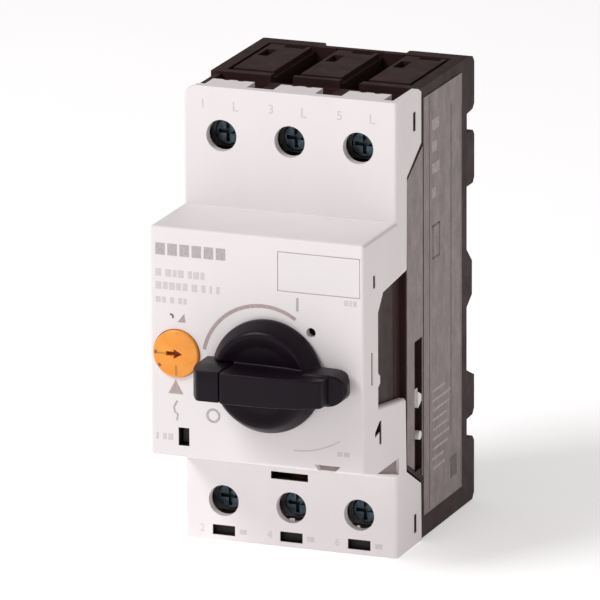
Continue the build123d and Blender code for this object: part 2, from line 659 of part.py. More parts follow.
save("coil_bobbins", Compound([coil_bobbin(x) for x in POLES]))
save("magnet_coils", Compound([magnet_coil(x) for x in POLES]))
save("magnet_yokes", Compound([magnet_yoke(x) for x in POLES]))
save("bimetal_blocks", Compound([bimetal_block(x) for x in POLES]))
for number, x in enumerate(POLES, 1):
    save("plunger_" + str(number), plunger(x))
    save("bimetal_strip_" + str(number), bimetal_strip(x))
    save("heater_winding_" + str(number), Compound(heater_winding(x)))

save("trip_bar", trip_bar())
save("test_tab", test_tab())
save("trip_spring", trip_spring())
save("latch_lever", latch_lever())
save("lever_pin", lever_pin())
save("aux_actuator", aux_actuator())
save("trip_signal_pin", trip_signal_pin())

for row, z in (("line", LINE_Z), ("load", LOAD_Z)):
    for number, x in enumerate(POLES, 1):
        save("screw_" + row + "_" + str(number), terminal_screw(x, z))
        save("clamp_" + row + "_" + str(number), clamp_plate(x, z))

save("din_latch", din_latch())
save("latch_spring", latch_spring())
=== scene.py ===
import json
import random
from math import cos, pi, radians, sin

import bmesh
import bpy
from mathutils import Matrix, Vector


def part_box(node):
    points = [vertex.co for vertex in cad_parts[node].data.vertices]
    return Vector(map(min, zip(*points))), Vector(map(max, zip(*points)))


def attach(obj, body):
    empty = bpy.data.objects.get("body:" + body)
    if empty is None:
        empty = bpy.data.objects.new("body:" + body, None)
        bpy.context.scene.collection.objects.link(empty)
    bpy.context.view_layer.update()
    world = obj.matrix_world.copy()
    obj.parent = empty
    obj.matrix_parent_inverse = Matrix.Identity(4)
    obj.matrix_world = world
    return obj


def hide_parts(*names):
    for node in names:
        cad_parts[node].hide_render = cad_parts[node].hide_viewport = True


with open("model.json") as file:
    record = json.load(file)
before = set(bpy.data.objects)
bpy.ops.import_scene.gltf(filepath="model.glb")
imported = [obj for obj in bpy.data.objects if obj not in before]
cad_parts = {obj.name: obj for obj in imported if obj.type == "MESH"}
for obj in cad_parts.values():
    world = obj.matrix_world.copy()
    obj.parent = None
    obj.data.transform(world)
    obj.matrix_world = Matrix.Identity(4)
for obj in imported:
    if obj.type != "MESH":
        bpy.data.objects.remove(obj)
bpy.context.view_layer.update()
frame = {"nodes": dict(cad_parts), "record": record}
NODES = frame["nodes"]
MM = 0.001

# ---- places, all from the frame, in millimetres ----


def box_mm(node):
    low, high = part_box(node)
    return [v / MM for v in low], [v / MM for v in high]


COVER_LOW, COVER_HIGH = box_mm("front_cover")
BASE_LOW = box_mm("base_housing")[0]
DIAL_LOW, DIAL_HIGH = box_mm("setting_dial")
GRIP_LOW, GRIP_HIGH = box_mm("rotary_handle")
SHAFT_LOW, SHAFT_HIGH = box_mm("handle_shaft")
SLIDE_LOW = box_mm("padlock_slide")[0]
PLATE_HIGH = box_mm("side_plate_right")[1]
FACE_Y = COVER_LOW[1]
SCREW_SINK = 3.7
TERMINAL_Y = box_mm("screw_line_1")[0][1] - SCREW_SINK
FLOOR_Z = BASE_LOW[2]
SIDE_X = PLATE_HIGH[0]
AXIS_X = (SHAFT_LOW[0] + SHAFT_HIGH[0]) / 2
AXIS_Z = (SHAFT_LOW[2] + SHAFT_HIGH[2]) / 2
DIAL_X = (DIAL_LOW[0] + DIAL_HIGH[0]) / 2
DIAL_Z = (DIAL_LOW[2] + DIAL_HIGH[2]) / 2
POLES = [sum(v[0] for v in box_mm("screw_line_%d" % n)) / 2 for n in (1, 2, 3)]
LINE_Z = sum(v[2] for v in box_mm("screw_line_1")) / 2
LOAD_Z = sum(v[2] for v in box_mm("screw_load_1")) / 2

# ---- sizes of what is added here, in millimetres ----

INK = 0.03
GRIP_HALF = 3.1
GRIP_LEFT = -3.1
CHANNEL_HALF = 1.4
CHANNEL_FRONT = -69.5
CHANNEL_BACK = -62.7
SEAT_HALF = 3.4
TONGUE_HALF = 1.2
SHACKLE_X = 0.8
SHACKLE_Y = -66.1
SHACKLE_R = 2.3
DISC_R = 11.5
WING_R = 3.4
ARC_R = 12.56
ARC_WIDTH = 0.75
DIAL_RIM = 4.45
DIAL_TICK_START = 3.9
DIAL_ARROW_SINK = 0.4
# Depths of the sheets of painted shade inside openings and recesses.
SHADE_WALL_START = 0.2
SHADE_WALL_END = 1.75
LOAD_SHADE_WALL_END = 2.6
LOAD_SLOT_FLOOR = 1.6
NOTCH_FLOOR = 1.4
GUSSET_SINK = 0.6
SIDE_SHADE_WALL_START = 0.15
SIDE_SHADE_WALL_END = 1.35


# ---- materials ----

class Shader:
    """A node material with one Principled shader, fed by object-space textures."""

    def __init__(self, name, colour, roughness, metallic=0.0):
        self.material = bpy.data.materials.new(name)
        self.material.use_nodes = True
        self.nodes = self.material.node_tree.nodes
        self.links = self.material.node_tree.links
        self.main = self.nodes["Principled BSDF"]
        self.main.inputs["Base Color"].default_value = (*colour, 1.0)
        self.main.inputs["Roughness"].default_value = roughness
        self.main.inputs["Metallic"].default_value = metallic
        self.place = self.nodes.new("ShaderNodeTexCoord").outputs["Object"]
        self.normal = None

    def stretched(self, scale):
        mapping = self.nodes.new("ShaderNodeMapping")
        mapping.inputs["Scale"].default_value = scale
        self.links.new(self.place, mapping.inputs["Vector"])
        return mapping.outputs["Vector"]

    def noise(self, size, detail=3.0, stretch=(1, 1, 1), roughness=0.5):
        """Noise whose features are about size millimetres."""
        texture = self.nodes.new("ShaderNodeTexNoise")
        texture.inputs["Scale"].default_value = 1.0 / (size * MM)
        texture.inputs["Detail"].default_value = detail
        texture.inputs["Roughness"].default_value = roughness
        self.links.new(self.stretched(stretch), texture.inputs["Vector"])
        return texture.outputs["Fac"]

    def ramp(self, value, low, high, colour_low, colour_high):
        ramp = self.nodes.new("ShaderNodeValToRGB")
        first, last = ramp.color_ramp.elements
        first.position = low
        last.position = high
        first.color = (*colour_low, 1.0)
        last.color = (*colour_high, 1.0)
        self.links.new(value, ramp.inputs["Fac"])
        return ramp.outputs["Color"]

    def blend_colour(self, factor, first, second, mode="MIX"):
        mix = self.nodes.new("ShaderNodeMix")
        mix.data_type = "RGBA"
        mix.blend_type = mode
        for socket, value in ((0, factor), (6, first), (7, second)):
            if isinstance(value, (int, float)):
                mix.inputs[socket].default_value = value
            elif isinstance(value, tuple):
                mix.inputs[socket].default_value = (*value, 1.0)
            else:
                self.links.new(value, mix.inputs[socket])
        return mix.outputs[2]

    def span(self, value, low, high, to_low, to_high):
        remap = self.nodes.new("ShaderNodeMapRange")
        for name, number in (("From Min", low), ("From Max", high), ("To Min", to_low), ("To Max", to_high)):
            remap.inputs[name].default_value = number
        self.links.new(value, remap.inputs["Value"])
        return remap.outputs["Result"]

    def colour(self, socket):
        self.links.new(socket, self.main.inputs["Base Color"])

    def rough(self, socket):
        self.links.new(socket, self.main.inputs["Roughness"])

    def bump(self, value, height_mm, strength=1.0):
        """Adds a layer of relief height_mm high."""
        bump = self.nodes.new("ShaderNodeBump")
        bump.inputs["Distance"].default_value = height_mm * MM
        bump.inputs["Strength"].default_value = strength
        self.links.new(value, bump.inputs["Height"])
        if self.normal is not None:
            self.links.new(self.normal, bump.inputs["Normal"])
        self.normal = bump.outputs["Normal"]
        self.links.new(self.normal, self.main.inputs["Normal"])

    def setting(self, name, value):
        self.main.inputs[name].default_value = value


def moulded(name, colour, roughness, grain=0.28, relief=0.012, tint=0.04, shine=0.5):
    """Moulded plastic: spark-eroded grain, faint flow marks and a slightly uneven gloss."""
    shader = Shader(name, colour, roughness)
    darker = tuple(c * (1 - tint) for c in colour)
    lighter = tuple(min(1.0, c * (1 + tint)) for c in colour)
    flow = shader.noise(9.0, 4.0, (1, 1, 0.4))
    shader.colour(shader.ramp(flow, 0.35, 0.65, darker, lighter))
    shader.rough(shader.span(shader.noise(3.0, 3.0), 0.3, 0.7, roughness - 0.06, roughness + 0.06))
    shader.bump(shader.noise(grain, 2.0), relief, 0.6)
    shader.bump(shader.noise(6.0, 2.0), 0.05, 0.15)
    shader.setting("Specular IOR Level", shine)
    return shader.material


def metal(name, colour, roughness, stretch=(1, 1, 12), tint=0.1, size=0.6):
    """Rolled or turned metal: fine lines along one way, with duller patches."""
    shader = Shader(name, colour, roughness, 1.0)
    lines = shader.noise(size, 4.0, stretch)
    darker = tuple(c * (1 - tint) for c in colour)
    shader.colour(shader.ramp(lines, 0.35, 0.7, darker, colour))
    shader.rough(shader.span(shader.noise(1.6, 4.0), 0.3, 0.7, roughness - 0.08, roughness + 0.12))
    shader.bump(lines, 0.006, 0.5)
    return shader.material


def side_print_material():
    """The grey printed field: uneven ink in cloudy patches and faint upright streaks."""
    shader = Shader("side_print", (0.27, 0.235, 0.235), 0.5)
    cloud = shader.noise(3.2, 5.0, (1, 1, 0.7), 0.62)
    streak = shader.noise(2.2, 3.0, (1, 1, 0.3))
    speckle = shader.noise(0.5, 3.0)
    base = shader.ramp(cloud, 0.32, 0.68, (0.165, 0.130, 0.128), (0.325, 0.268, 0.262))
    streaks = shader.ramp(streak, 0.40, 0.62, (0.72, 0.70, 0.70), (1.0, 1.0, 1.0))
    specks = shader.ramp(speckle, 0.35, 0.6, (0.86, 0.84, 0.84), (1.0, 1.0, 1.0))
    mixed = shader.blend_colour(0.4, base, streaks, "MULTIPLY")
    shader.colour(shader.blend_colour(0.6, mixed, specks, "MULTIPLY"))
    shader.rough(shader.span(cloud, 0.3, 0.7, 0.42, 0.58))
    shader.bump(shader.noise(0.25, 2.0), 0.01, 0.5)
    return shader.material


def dial_material():
    """Orange dial plastic: glossy, a little translucent, brighter to the middle of each flow cell."""
    shader = Shader("dial_plastic", (0.90, 0.33, 0.03), 0.33)
    flow = shader.noise(4.0, 3.0)
    shader.colour(shader.ramp(flow, 0.3, 0.7, (0.84, 0.285, 0.022), (0.94, 0.375, 0.045)))
    shader.rough(shader.span(shader.noise(1.0, 2.0), 0.3, 0.7, 0.27, 0.42))
    shader.bump(shader.noise(0.3, 2.0), 0.006, 0.4)
    shader.setting("Subsurface Weight", 0.12)
    shader.setting("Subsurface Radius", (0.0015, 0.0008, 0.0003))
    return shader.material


def ink(name, colour, patchy=0.25):
    """Pad-printed ink, thinner in places; the same flat finish also makes the sheets of painted shade."""
    shader = Shader(name, colour, 0.6)
    lighter = tuple(c + (0.8 - c) * patchy for c in colour)
    shader.colour(shader.ramp(shader.noise(0.5, 4.0), 0.4, 0.75, colour, lighter))
    shader.bump(shader.noise(0.2, 2.0), 0.006, 0.4)
    return shader.material


def floor_material():
    shader = Shader("studio_floor", (0.96, 0.96, 0.96), 0.8)
    shader.colour(shader.ramp(shader.noise(60.0, 3.0), 0.3, 0.7, (0.95, 0.95, 0.95), (0.97, 0.97, 0.97)))
    shader.setting("Emission Color", (1.0, 1.0, 1.0, 1.0))
    shader.setting("Emission Strength", 0.40)
    return shader.material


COVER = moulded("cover_plastic", (0.80, 0.760, 0.768), 0.5, 0.35, 0.010, 0.012, 0.3)
LABEL = moulded("label_plastic", (0.79, 0.755, 0.765), 0.42, 0.5, 0.004, 0.01, 0.3)
BASE = moulded("base_plastic", (0.033, 0.014, 0.014), 0.55, 0.3, 0.014, 0.18, 0.13)
HANDLE = moulded("handle_plastic", (0.0065, 0.0028, 0.0065), 0.38, 0.22, 0.010, 0.15, 0.16)
MECHANISM = moulded("mechanism_plastic", (0.045, 0.041, 0.043), 0.45, 0.3, 0.01, 0.1, 0.3)
CASE = moulded("case_plastic", (0.040, 0.016, 0.016), 0.5, 0.35, 0.014, 0.15, 0.16)
BOBBIN = moulded("bobbin_plastic", (0.07, 0.07, 0.085), 0.4, 0.3, 0.01, 0.1)
WHITE_PEG = moulded("actuator_plastic", (0.84, 0.83, 0.82), 0.4, 0.3, 0.008, 0.02)
LATCH = moulded("latch_plastic", (0.05, 0.042, 0.044), 0.45, 0.3, 0.012, 0.15)
SIDE_PRINT = side_print_material()
DIAL = dial_material()
INK_TAUPE = ink("ink_taupe", (0.40, 0.31, 0.30))
INK_GREY = ink("ink_grey", (0.42, 0.38, 0.385), 0.3)
INK_FAINT = ink("ink_faint", (0.62, 0.57, 0.575), 0.3)
INK_DARK = ink("ink_dark", (0.10, 0.07, 0.07), 0.15)
# Painted shade: near-black sheets inside openings and slots, where the walls and floors look dark only from
# shade.
PAINTED_DEEP_SHADE = ink("painted_deep_shade", (0.010, 0.006, 0.006), 0.0)
# Painted shade: grey-brown sheets on the floors of shallow recesses, standing for the shade in them.
PAINTED_SHADE = ink("painted_shade", (0.26, 0.205, 0.20), 0.1)
INK_PRINT = ink("ink_print", (0.34, 0.29, 0.285), 0.3)
# Painted shade: the dark floor of the dial's sunk arrow.
DIAL_ARROW_SHADE = ink("dial_arrow_shade", (0.22, 0.035, 0.004), 0.05)
INK_AMBER = ink("ink_amber", (0.55, 0.20, 0.03), 0.05)
INK_SCALE = ink("ink_scale", (0.19, 0.10, 0.06), 0.1)
STEEL = metal("steel", (0.56, 0.56, 0.57), 0.3)
SCREW = metal("screw_steel", (0.085, 0.115, 0.14), 0.34, (1, 1, 1), 0.6, 0.8)
ZINC = metal("zinc_plated_steel", (0.62, 0.63, 0.64), 0.36)
COPPER = metal("copper", (0.75, 0.42, 0.27), 0.32)
SILVER = metal("contact_silver", (0.78, 0.77, 0.73), 0.28)
SPRING = metal("spring_steel", (0.52, 0.52, 0.53), 0.25, (1, 1, 1))
BIMETAL = metal("bimetal", (0.62, 0.57, 0.50), 0.33)

FINISH = {
    "cover_plastic": COVER, "base_plastic": BASE, "label_plastic": LABEL, "side_print": SIDE_PRINT,
    "handle_plastic": HANDLE, "steel": STEEL, "mechanism_plastic": MECHANISM, "dial_plastic": DIAL,
    "copper": COPPER, "contact_silver": SILVER, "spring_steel": SPRING, "zinc_plated_steel": ZINC,
    "bobbin_plastic": BOBBIN, "bimetal": BIMETAL, "actuator_plastic": WHITE_PEG, "screw_steel": SCREW,
    "latch_plastic": LATCH,
}


def dress_cad():
    """Every carried-over CAD node gets its finish; the base housing, mechanism case, front cover and DIN
    latch also get softened edges.
    """
    for part in frame["record"]["subparts"]:
        node = NODES[part["node"]]
        node.data.materials.clear()
        node.data.materials.append(FINISH[part["material_slot"]])
    NODES["mechanism_case"].data.materials[0] = CASE
    rounding = {"base_housing": 0.25, "mechanism_case": 0.2, "front_cover": 0.18, "din_latch": 0.2}
    for name, width in rounding.items():
        bevel = NODES[name].modifiers.new("soft_edges", "BEVEL")
        bevel.width = width * MM
        bevel.segments = 2
        bevel.limit_method = "ANGLE"
        bevel.angle_limit = radians(40)
        bevel.harden_normals = False


# ---- mesh tools, in millimetres ----

def new_object(name, mesh, material):
    mesh.materials.clear()
    mesh.materials.append(material)
    made = bpy.data.objects.new(name, mesh)
    bpy.context.scene.collection.objects.link(made)
    return made


def mesh_from(points, faces):
    mesh = bpy.data.meshes.new("shape")
    mesh.from_pydata([Vector(p) * MM for p in points], [], faces)
    tidy = bmesh.new()
    tidy.from_mesh(mesh)
    bmesh.ops.recalc_face_normals(tidy, faces=tidy.faces)
    tidy.to_mesh(mesh)
    tidy.free()
    return mesh


def slab(outline, low, high, axis):
    """A flat outline pushed from low to high along an axis (0 = X, 1 = Y, 2 = Z)."""
    count = len(outline)

    def point(pair, depth):
        values = list(pair)
        values.insert(axis, depth)
        return values

    points = [point(p, low) for p in outline] + [point(p, high) for p in outline]
    faces = [list(range(count)), list(range(count, 2 * count))]
    for i in range(count):
        j = (i + 1) % count
        faces.append([i, j, count + j, count + i])
    return mesh_from(points, faces)


def turned(profile, x, z, steps=96):
    """A closed (radius, y) profile turned about an axis along Y; it starts and ends on the axis."""
    points = [(x, profile[0][1], z)]
    rows = []
    for radius, y in profile[1:-1]:
        row = []
        for i in range(steps):
            a = 2 * pi * i / steps
            row.append(len(points))
            points.append((x + radius * cos(a), y, z + radius * sin(a)))
        rows.append(row)
    last = len(points)
    points.append((x, profile[-1][1], z))
    faces = []
    for i in range(steps):
        j = (i + 1) % steps
        faces.append([0, rows[0][i], rows[0][j]])
        faces.append([last, rows[-1][j], rows[-1][i]])
        for a, b in zip(rows, rows[1:]):
            faces.append([a[i], a[j], b[j], b[i]])
    return mesh_from(points, faces)


def baked(thing):
    """The mesh of an object with its modifiers applied; the object goes."""
    bpy.context.view_layer.update()
    mesh = bpy.data.meshes.new_from_object(thing.evaluated_get(bpy.context.evaluated_depsgraph_get()))
    bpy.data.objects.remove(thing)
    return mesh


def rounded(mesh, width, segments=3, angle=30):
    thing = new_object("work", mesh, HANDLE)
    bevel = thing.modifiers.new("round", "BEVEL")
    bevel.width = width * MM
    bevel.segments = segments
    bevel.limit_method = "ANGLE"
    bevel.angle_limit = radians(angle)
    return baked(thing)


def fused(meshes, voxel, smooth_steps):
    """Several closed meshes melted into one skin with soft inner corners."""
    whole = bmesh.new()
    for mesh in meshes:
        whole.from_mesh(mesh)
    mesh = bpy.data.meshes.new("fused")
    whole.to_mesh(mesh)
    whole.free()
    thing = new_object("work", mesh, HANDLE)
    remesh = thing.modifiers.new("skin", "REMESH")
    remesh.mode = "VOXEL"
    remesh.voxel_size = voxel * MM
    smooth = thing.modifiers.new("soft", "SMOOTH")
    smooth.factor = 0.5
    smooth.iterations = smooth_steps
    return baked(thing)


def joined(mesh, other, operation):
    """A boolean of two closed meshes: DIFFERENCE or INTERSECT."""
    thing = new_object("work", mesh, HANDLE)
    tool = new_object("tool", other, HANDLE)
    cut = thing.modifiers.new("cut", "BOOLEAN")
    cut.operation = operation
    cut.solver = "EXACT"
    cut.object = tool
    result = baked(thing)
    bpy.data.objects.remove(tool)
    return result


def shaded(thing, angle=35):
    for face in thing.data.polygons:
        face.use_smooth = True
    split = thing.modifiers.new("crisp", "EDGE_SPLIT")
    split.split_angle = radians(angle)


# ---- handle ----

def grip_mesh():
    """The bar across the handle, seen from above as (x, y); its front falls away to the right."""
    front = GRIP_LOW[1]
    bar = [
        (GRIP_LEFT, -61.5), (GRIP_LEFT, front + 0.35), (GRIP_LEFT + 0.35, front), (6.5, front + 0.2),
        (12.8, -70.5), (17.1, -69.4), (17.4, -69.0), (17.9, -65.6), (15.0, -61.5),
    ]
    mesh = slab(bar, AXIS_Z - GRIP_HALF, AXIS_Z + GRIP_HALF, 2)
    for vertex in mesh.vertices:
        x = vertex.co.x / MM
        taper = 1.0 - 0.14 * max(0.0, (x - 10.6) / 8.0)
        vertex.co.z = (AXIS_Z + (vertex.co.z / MM - AXIS_Z) * taper) * MM
    return rounded(mesh, 0.3)


def wing_mesh():
    """The low rounded end of the bar, past the disc."""
    right = GRIP_HIGH[0]
    half = GRIP_HALF + 0.1
    wing = [
        (12.4, -61.2), (12.4, -66.3), (16.5, -66.1), (18.6, -65.8), (20.2, -65.1), (right, -63.8),
        (right - 0.3, -61.7), (right - 1.2, -60.5), (13.4, -60.4),
    ]
    outline = [(5.0, AXIS_Z - half), (5.0, AXIS_Z + half)]
    for i in range(13):
        a = radians(90 - 15 * i)
        outline.append((right - WING_R + WING_R * cos(a), AXIS_Z + half * sin(a)))
    mesh = slab(wing, AXIS_Z - half - 1, AXIS_Z + half + 1, 2)
    return rounded(joined(mesh, slab(outline, -70.0, -58.0, 1), "INTERSECT"), 0.7, 3, 40)


def handle_disc():
    """The round foot of the handle: a rim, a sloping flank and a dished front."""
    low = GRIP_HIGH[1]
    profile = [
        (0.0, low), (10.9, low), (11.35, low - 0.15), (DISC_R, low - 0.45), (DISC_R, low - 1.0),
        (11.35, low - 1.6), (10.75, low - 2.8), (10.15, low - 3.9), (9.8, low - 4.4), (9.4, low - 4.66),
        (8.9, low - 4.7), (8.2, low - 4.58), (6.8, low - 4.3), (0.0, low - 4.0),
    ]
    return turned(profile, AXIS_X, AXIS_Z, 128)


def build_handle():
    """Disc, bar and wing as one moulding, with the padlock slide's channel and its head's seat."""
    body = fused([handle_disc(), grip_mesh(), wing_mesh()], 0.14, 4)
    channel = bar(-14.0, 9.8, CHANNEL_FRONT, CHANNEL_BACK)
    body = joined(body, slab(channel, AXIS_Z - CHANNEL_HALF, AXIS_Z + CHANNEL_HALF, 2), "DIFFERENCE")
    seat = bar(-10.0, GRIP_LEFT, -66.0, -60.0)
    body = joined(body, slab(seat, AXIS_Z - SEAT_HALF, AXIS_Z + SEAT_HALF, 2), "DIFFERENCE")
    handle = new_object("handle_body", body, HANDLE)
    shaded(handle, 40)
    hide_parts("rotary_handle")
    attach(handle, "knob")


def build_padlock_slide():
    """The wedge-shaped head that closes the bar's left end, and the tongue with the padlock hole."""
    left = SLIDE_LOW[0]
    right = GRIP_LEFT - 0.2
    front = SLIDE_LOW[1]
    back = -60.3
    head = [
        (right, back), (right, front + 0.1), (left + 2.9, front), (left + 2.3, front + 0.35),
        (left + 1.3, -69.4), (left + 0.4, -66.0), (left, -62.0), (left + 0.4, back),
    ]
    outline = [
        (right + 1, AXIS_Z - GRIP_HALF), (left + 1.9, AXIS_Z - GRIP_HALF), (left + 0.7, AXIS_Z - 2.3),
        (left - 0.1, AXIS_Z + 0.3), (left + 0.1, AXIS_Z + 2.2), (left + 0.7, AXIS_Z + GRIP_HALF),
        (right + 1, AXIS_Z + GRIP_HALF),
    ]
    wedge = slab(head, AXIS_Z - GRIP_HALF - 1, AXIS_Z + GRIP_HALF + 1, 2)
    wedge = joined(wedge, slab(outline, front - 1, back + 1, 1), "INTERSECT")
    head_piece = new_object("padlock_slide_head", rounded(wedge, 0.3, 3, 25), HANDLE)
    tongue = bar(left + 2.6, 9.2, CHANNEL_FRONT + 0.2, CHANNEL_BACK - 0.2)
    hole = []
    for i in range(32):
        a = pi * i / 16
        hole.append((SHACKLE_X + SHACKLE_R * cos(a), SHACKLE_Y + SHACKLE_R * sin(a)))
    blade = slab(tongue, AXIS_Z - TONGUE_HALF, AXIS_Z + TONGUE_HALF, 2)
    blade = joined(blade, slab(hole, AXIS_Z - GRIP_HALF, AXIS_Z + GRIP_HALF, 2), "DIFFERENCE")
    tongue_piece = new_object("padlock_slide_tongue", rounded(blade, 0.15, 2), MECHANISM)
    for piece in (head_piece, tongue_piece):
        shaded(piece, 50)
        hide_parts("padlock_slide")
        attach(piece, "padlock_tongue")


# ---- printed marks and painted shade ----

def arc_band(x, z, radius, width, start, end, steps=48):
    outer = []
    inner = []
    for i in range(steps + 1):
        a = radians(start + (end - start) * i / steps)
        outer.append((x + (radius + width / 2) * cos(a), z + (radius + width / 2) * sin(a)))
        inner.append((x + (radius - width / 2) * cos(a), z + (radius - width / 2) * sin(a)))
    return outer + inner[::-1]


def stroke(points, width):
    """A band of one width along a few points."""
    left = []
    right = []
    for i, point in enumerate(points):
        before = points[max(i - 1, 0)]
        after = points[min(i + 1, len(points) - 1)]
        way = Vector((after[0] - before[0], after[1] - before[1])).normalized()
        side = Vector((-way.y, way.x)) * width / 2
        left.append((point[0] + side.x, point[1] + side.y))
        right.append((point[0] - side.x, point[1] - side.y))
    return left + right[::-1]


def bar(x0, x1, z0, z1):
    return [(x0, z0), (x1, z0), (x1, z1), (x0, z1)]


def face_mark(name, outline, material, y=None, body="breaker"):
    """One printed shape, or one sheet of painted shade, on a face that looks towards -Y."""
    plane = FACE_Y if y is None else y
    made = new_object(name, slab(outline, plane - INK, plane + INK, 1), material)
    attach(made, body)


def side_mark(name, outline, material, side, x=None, thick=INK):
    """One printed shape or sheet of painted shade, given as (y, z), on a side; side is 1 for the right and
    -1 for the left.
    """
    plane = (SIDE_X if x is None else x) * side
    made = new_object(name, slab(outline, plane - thick, plane + thick, 0), material)
    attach(made, "breaker")


def shade_walls(name, outline, low, high, axis):
    """Thin near-black sheets of painted shade just inside an opening, pushed from low to high along an axis.
    """
    whole = bmesh.new()
    for first, second in zip(outline, outline[1:] + outline[:1]):
        whole.from_mesh(slab(stroke([first, second], 2 * INK), low, high, axis))
    mesh = bpy.data.meshes.new(name)
    whole.to_mesh(mesh)
    whole.free()
    made = new_object(name, mesh, PAINTED_DEEP_SHADE)
    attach(made, "breaker")


def front_shade_walls(name, outline, plane, depth):
    # Painted shade on the walls of an opening in a face that looks towards -Y.
    shade_walls(name, outline, plane + SHADE_WALL_START, plane + depth, 1)


def shade_sheets():
    """Sheets of painted shade: near-black on the walls of the cover's small openings and on the load slots'
    floors, grey-brown on the floors of its shallow recesses.
    """
    # Painted shade inside the face's test slot and the terminal face's middle slot.
    front_shade_walls("test_slot_shade_wall", bar(-16.6, -14.3, -22.0, -18.3), FACE_Y, SHADE_WALL_END)
    front_shade_walls("middle_slot_shade_wall", bar(-4.3, 3.6, -32.65, -31.1), TERMINAL_Y, SHADE_WALL_END)
    for i, x in enumerate(POLES):
        # Painted shade on each load slot's walls, and a near-black sheet of it on the slot's floor.
        slot = bar(x - 2.4, x + 2.4, -45.5, -43.4)
        front_shade_walls("load_slot_lining_%d" % (i + 1), slot, TERMINAL_Y, LOAD_SHADE_WALL_END)
        floor = TERMINAL_Y + LOAD_SLOT_FLOOR
        face_mark("load_slot_back_%d" % (i + 1), slot, PAINTED_DEEP_SHADE, floor)
    flag = [
        (-50.6, -20.3), (-49.4, -20.3), (-49.4, -15.5), (-50.6, -15.5), (-53.0, -17.2), (-53.0, -18.2),
        (-50.6, -17.7),
    ]
    slots = [
        bar(-31.55, -30.05, 38.5, 42.4), bar(-31.25, -29.75, -44.0, -40.1), bar(-53.9, -52.7, 12.3, 14.9),
        bar(-54.95, -54.25, -7.1, -0.4), flag,
    ]
    # Painted shade on the floor of the reset notch under the front block.
    recess = [(12.25, -23.1), (17.3, -23.1), (16.0, -24.4), (13.0, -24.4)]
    face_mark("face_notch_shade", recess, PAINTED_SHADE, FACE_Y + NOTCH_FLOOR)
    # Painted shade on the floor of the triangular pocket on each side.
    gusset = [(-51.5, -26.0), (-39.8, -26.0), (-39.8, -29.2)]
    outer = COVER_HIGH[0] - SIDE_SHADE_WALL_START
    inner = COVER_HIGH[0] - SIDE_SHADE_WALL_END
    for tag, side in (("right", 1), ("left", -1)):
        near = min(side * outer, side * inner)
        far = max(side * outer, side * inner)
        # Painted shade on the walls of the openings in each side.
        for i, slot in enumerate(slots):
            shade_walls("%s_slot_lining_%d" % (tag, i), slot, near, far, 0)
        side_mark("%s_gusset_floor" % tag, gusset, PAINTED_SHADE, side, COVER_HIGH[0] - GUSSET_SINK)


def face_marks():
    """Signs and bars printed on the face; bars stand where the real one has lettering."""
    face_mark("on_arc", arc_band(1.27, -4.4, ARC_R, ARC_WIDTH, 168, 56.5), INK_TAUPE)
    face_mark("off_ring", arc_band(-9.2, -15.2, 1.25, 0.5, 0, 359.9), INK_GREY)
    face_mark("on_stroke", bar(8.35, 8.85, 7.8, 10.5), INK_GREY)
    apex = DIAL_X - 0.25
    pointer = [(apex, DIAL_Z - 5.4), (apex + 1.6, DIAL_Z - 8.3), (apex - 1.6, DIAL_Z - 8.3)]
    face_mark("dial_pointer", pointer, INK_TAUPE)
    bend = [(-16.8, -12.9), (-17.5, -14.2), (-17.3, -15.2), (-16.7, -15.6), (-16.9, -16.9)]
    face_mark("thermal_sign", stroke(bend, 0.42), INK_GREY)
    sweep = []
    for i in range(17):
        t = i / 16
        sweep.append((7.8 + 9.6 * t, -20.6 + 0.1 * t + 2.7 * t ** 2.2))
    face_mark("reset_curve", stroke(sweep, 0.28), INK_FAINT)
    for i in range(6):
        x = -21.2 + 2.55 * i
        face_mark("maker_block_%d" % i, bar(x, x + 2.0, 16.6, 19.0), INK_GREY)
    greeked_line("type_line_a", -21.2, 10.5, 13.0, 1.5, 11)
    greeked_line("type_line_b", -21.2, 13.5, 10.4, 1.5, 12)
    greeked_line("type_line_c", -21.2, 6.5, 7.5, 1.2, 13)
    greeked_line("test_line", -21.3, 3.6, -20.4, 1.3, 14)
    greeked_line("side_line_a", 18.4, 2.6, 10.4, 1.1, 15)
    greeked_line("side_line_b", 16.9, 2.6, -20.4, 0.9, 16)
    face_mark("dial_figure", stroke([(-18.2, 4.7), (-17.6, 4.5), (-17.6, 3.9)], 0.4), INK_DARK)
    face_mark("dial_unit", [(-16.6, 3.2), (-15.2, 5.0), (-14.9, 3.2)], INK_TAUPE)


def greeked_line(name, x, length, z, height, seed):
    """A faint row of short bars where the real one has a line of type."""
    chance = random.Random(seed)
    end = x + length
    count = 0
    while x < end - 0.4:
        width = chance.choice((0.5, 0.8, 1.0, 1.2))
        face_mark(
            "%s_%d" % (name, count), bar(x, min(x + width, end), z - height / 2, z + height / 2), INK_FAINT,
        )
        x += width + chance.choice((0.3, 0.35, 0.9))
        count += 1


def digit(name, text, x, z, size, y):
    """One terminal number, standing on a face that looks towards -Y."""
    curve = bpy.data.curves.new(name, "FONT")
    curve.body = text
    curve.size = size * MM
    curve.extrude = INK * MM
    curve.align_x = "CENTER"
    curve.align_y = "CENTER"
    made = bpy.data.objects.new(name, curve)
    made.matrix_world = Matrix.Translation(Vector((x, y, z)) * MM) @ Matrix.Rotation(pi / 2, 4, "X")
    bpy.context.scene.collection.objects.link(made)
    made.data.materials.append(INK_FAINT)
    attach(made, "breaker")


